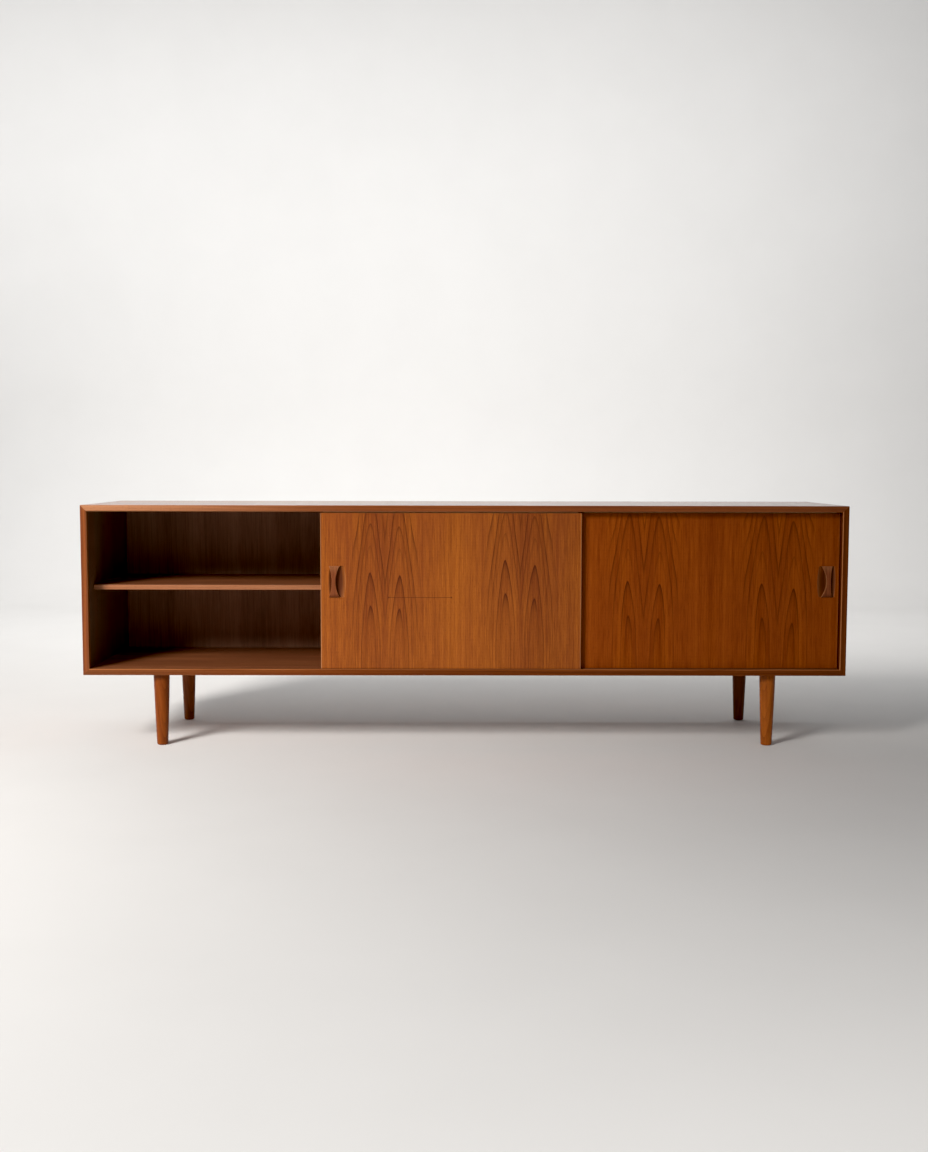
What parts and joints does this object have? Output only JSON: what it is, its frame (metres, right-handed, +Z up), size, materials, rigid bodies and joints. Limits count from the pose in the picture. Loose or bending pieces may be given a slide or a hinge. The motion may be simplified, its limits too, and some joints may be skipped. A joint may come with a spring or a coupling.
{
  "type": "sliding door sideboard",
  "caption": "Long low teak sideboard on turned tapered legs, with sliding doors in parallel tracks, carved bow-tie pulls and shelved bays.",
  "frame": {"origin": "on the floor, under the middle of the case: the centre of the footprint's bounding box", "axes": "+X to the right along the case as seen from the front, +Y towards the back, +Z up"},
  "size_m": [2.2, 0.48, 0.7],
  "materials": {
    "teak_veneer": "satin oiled",
    "solid_teak": "satin oiled",
    "back_plywood": "matt oiled",
    "beech": "waxed",
    "brass": "aged satin",
    "zinc_steel": "zinc plated"
  },
  "bodies": {
    "case": {"back_panel": "back_plywood", "back_panel_screws": "zinc_steel", "bottom_front_lipping": "solid_teak", "bottom_panel": "teak_veneer", "front_left_leg": "solid_teak", "front_right_leg": "solid_teak", "left_front_lipping": "solid_teak", "left_panel": "teak_veneer", "left_partition": "teak_veneer", "left_partition_lipping": "solid_teak", "left_shelf": "teak_veneer", "left_shelf_lipping": "solid_teak", "left_shelf_pins": "brass", "leg_hanger_bolts": "zinc_steel", "leg_threaded_inserts": "brass", "middle_shelf": "teak_veneer", "middle_shelf_lipping": "solid_teak", "middle_shelf_pins": "brass", "mitre_splines": "beech", "partition_dowels": "beech", "rear_left_leg": "solid_teak", "rear_right_leg": "solid_teak", "right_front_lipping": "solid_teak", "right_panel": "teak_veneer", "right_partition": "teak_veneer", "right_partition_lipping": "solid_teak", "right_shelf": "teak_veneer", "right_shelf_lipping": "solid_teak", "right_shelf_pins": "brass", "top_front_lipping": "solid_teak", "top_panel": "teak_veneer"},
    "left_door": {"left_door_panel": "teak_veneer", "left_door_left_edging": "solid_teak", "left_door_right_edging": "solid_teak", "left_door_bottom_runner": "beech", "left_door_top_runner": "beech", "left_door_pull": "solid_teak"},
    "middle_door": {"middle_door_panel": "teak_veneer", "middle_door_left_edging": "solid_teak", "middle_door_right_edging": "solid_teak", "middle_door_bottom_runner": "beech", "middle_door_top_runner": "beech", "middle_door_pull": "solid_teak"},
    "right_door": {"right_door_panel": "teak_veneer", "right_door_left_edging": "solid_teak", "right_door_right_edging": "solid_teak", "right_door_bottom_runner": "beech", "right_door_top_runner": "beech", "right_door_pull": "solid_teak"}
  },
  "joints": [
    {"name": "left_door_slide", "type": "slide", "parent": "case", "child": "left_door", "axis": [1, 0, 0], "range_m": [-0.6685, 0.7445]},
    {"name": "middle_door_slide", "type": "slide", "parent": "case", "child": "middle_door", "axis": [1, 0, 0], "range_m": [-0.6665, 0.7465]},
    {"name": "right_door_slide", "type": "slide", "parent": "case", "child": "right_door", "axis": [1, 0, 0], "range_m": [-1.4125, 0.0005]}
  ]
}
